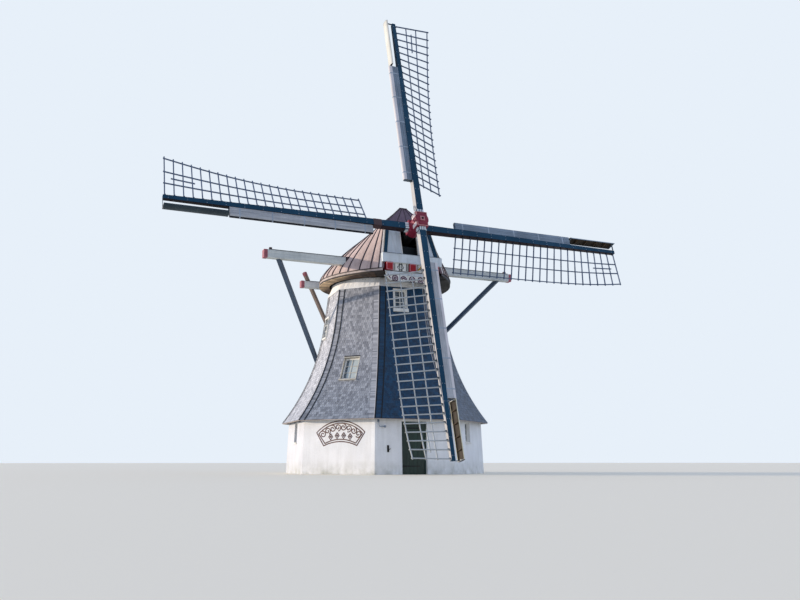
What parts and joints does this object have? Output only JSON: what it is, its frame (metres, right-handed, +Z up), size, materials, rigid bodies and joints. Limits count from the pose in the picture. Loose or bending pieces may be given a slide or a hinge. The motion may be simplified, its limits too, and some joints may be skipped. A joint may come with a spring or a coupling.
{
  "type": "traditional smock windmill",
  "caption": "Smock windmill with a white octagonal base, slate-clad tower, turning cap with tail pole, and lattice sails with leading boards and air-brake flaps.",
  "frame": {"origin": "on the ground, on the tower's axis", "axes": "+Z up; the cap faces -Y at rest, so +X is to the right seen from the front"},
  "size_m": [20.02, 12.9355, 19.8019],
  "materials": {
    "white_render": "rough whitewashed render on brick",
    "slates": "small grey-blue slates, slightly glossy",
    "green_doors": "dark green painted boards",
    "white_frames": "cream-white painted wood",
    "window_glass": "window glass",
    "floor_stone": "worn brick floor",
    "inner_timber": "old sawn timber",
    "white_boards": "white painted boards",
    "cap_covering": "brown roofing strips with dark seams",
    "soffit_boards": "tan weathered boards",
    "teal_paint": "dark teal gloss paint",
    "red_paint": "dusty crimson paint",
    "grey_beams": "pale weathered blue-grey wood",
    "dark_timber": "dark slate-blue painted timber",
    "shaft_iron": "dark cast iron",
    "lattice_bars": "blue-grey painted bars",
    "cream_flaps": "cream painted sheet"
  },
  "bodies": {
    "tower": {"base_wall_front_left": "white_render", "base_wall_front_right": "white_render", "base_lintel_front": "white_render", "base_wall_right_front": "white_render", "base_wall_right": "white_render", "base_wall_right_back": "white_render", "base_wall_back": "white_render", "base_wall_left_back": "white_render", "base_wall_left": "white_render", "base_wall_left_front": "white_render", "door_frames": "green_doors", "base_window_frames": "white_frames", "ground_floor": "floor_stone", "first_floor": "inner_timber", "upper_floor": "inner_timber", "smock_wall_front": "slates", "smock_wall_right_front": "slates", "smock_wall_right": "slates", "smock_wall_right_back": "slates", "smock_wall_back": "slates", "smock_wall_left_back": "slates", "smock_wall_left": "slates", "smock_wall_left_front": "slates", "smock_window_frames": "white_frames", "window_panes": "window_glass", "curb": "white_boards", "back_door": "green_doors"},
    "front_door": {"front_door": "green_doors"},
    "cap": {"cap_frame": "inner_timber", "shaft_beams": "inner_timber", "cap_soffit": "soffit_boards", "cap_left": "cap_covering", "cap_right": "cap_covering", "cap_back": "cap_covering", "cap_ridge": "cap_covering", "cap_gable": "white_boards", "barge_boards": "teal_paint", "front_beam": "white_boards", "beam_blocks": "red_paint", "carved_panels": "white_boards", "beard_board": "white_boards", "long_beam": "grey_beams", "short_beam": "grey_beams", "braces": "dark_timber", "tail_pole": "dark_timber", "tail_winch": "dark_timber"},
    "rotor": {"windshaft": "shaft_iron", "poll_end": "red_paint", "front_stock": "teal_paint", "rear_stock": "teal_paint", "lattice_top": "lattice_bars", "lattice_right": "lattice_bars", "lattice_bottom": "lattice_bars", "lattice_left": "lattice_bars", "leading_boards": "grey_beams", "flap_brackets": "teal_paint"},
    "flap_top": {"flap_top": "cream_flaps"},
    "flap_right": {"flap_right": "cream_flaps"},
    "flap_bottom": {"flap_bottom": "cream_flaps"},
    "flap_left": {"flap_left": "cream_flaps"}
  },
  "joints": [
    {"name": "cap_turn", "type": "hinge", "parent": "tower", "child": "cap", "pos_m": [0, 0, 8.1], "axis": [0, 0, 1], "continuous": true},
    {"name": "sails_spin", "type": "hinge", "parent": "cap", "child": "rotor", "pos_m": [0, -3.69124, 10.13845], "axis": [0, -0.9613, 0.2756], "continuous": true},
    {"name": "flap_top_turn", "type": "hinge", "parent": "rotor", "child": "flap_top", "pos_m": [-0.34, -1.2615, 18.61197], "axis": [0, 0.2756, 0.9613], "range_deg": [-85, 0]},
    {"name": "flap_right_turn", "type": "hinge", "parent": "rotor", "child": "flap_right", "pos_m": [8.815, -3.06883, 10.31368], "axis": [1, 0, 0], "range_deg": [-85, 0]},
    {"name": "flap_bottom_turn", "type": "hinge", "parent": "rotor", "child": "flap_bottom", "pos_m": [0.34, -6.12099, 1.66493], "axis": [0, -0.2756, -0.9613], "range_deg": [-85, 0]},
    {"name": "flap_left_turn", "type": "hinge", "parent": "rotor", "child": "flap_left", "pos_m": [-8.815, -3.25627, 9.66002], "axis": [-1, 0, 0], "range_deg": [-85, 0]},
    {"name": "front_door_turn", "type": "hinge", "parent": "tower", "child": "front_door", "pos_m": [-0.80446, -3.76038, 1.02], "axis": [0, 0, -1], "range_deg": [0, 90]}
  ],
  "couplings": [
    {"joint": "flap_right_turn", "follows": "flap_top_turn", "ratio": 1},
    {"joint": "flap_bottom_turn", "follows": "flap_top_turn", "ratio": 1},
    {"joint": "flap_left_turn", "follows": "flap_top_turn", "ratio": 1}
  ]
}
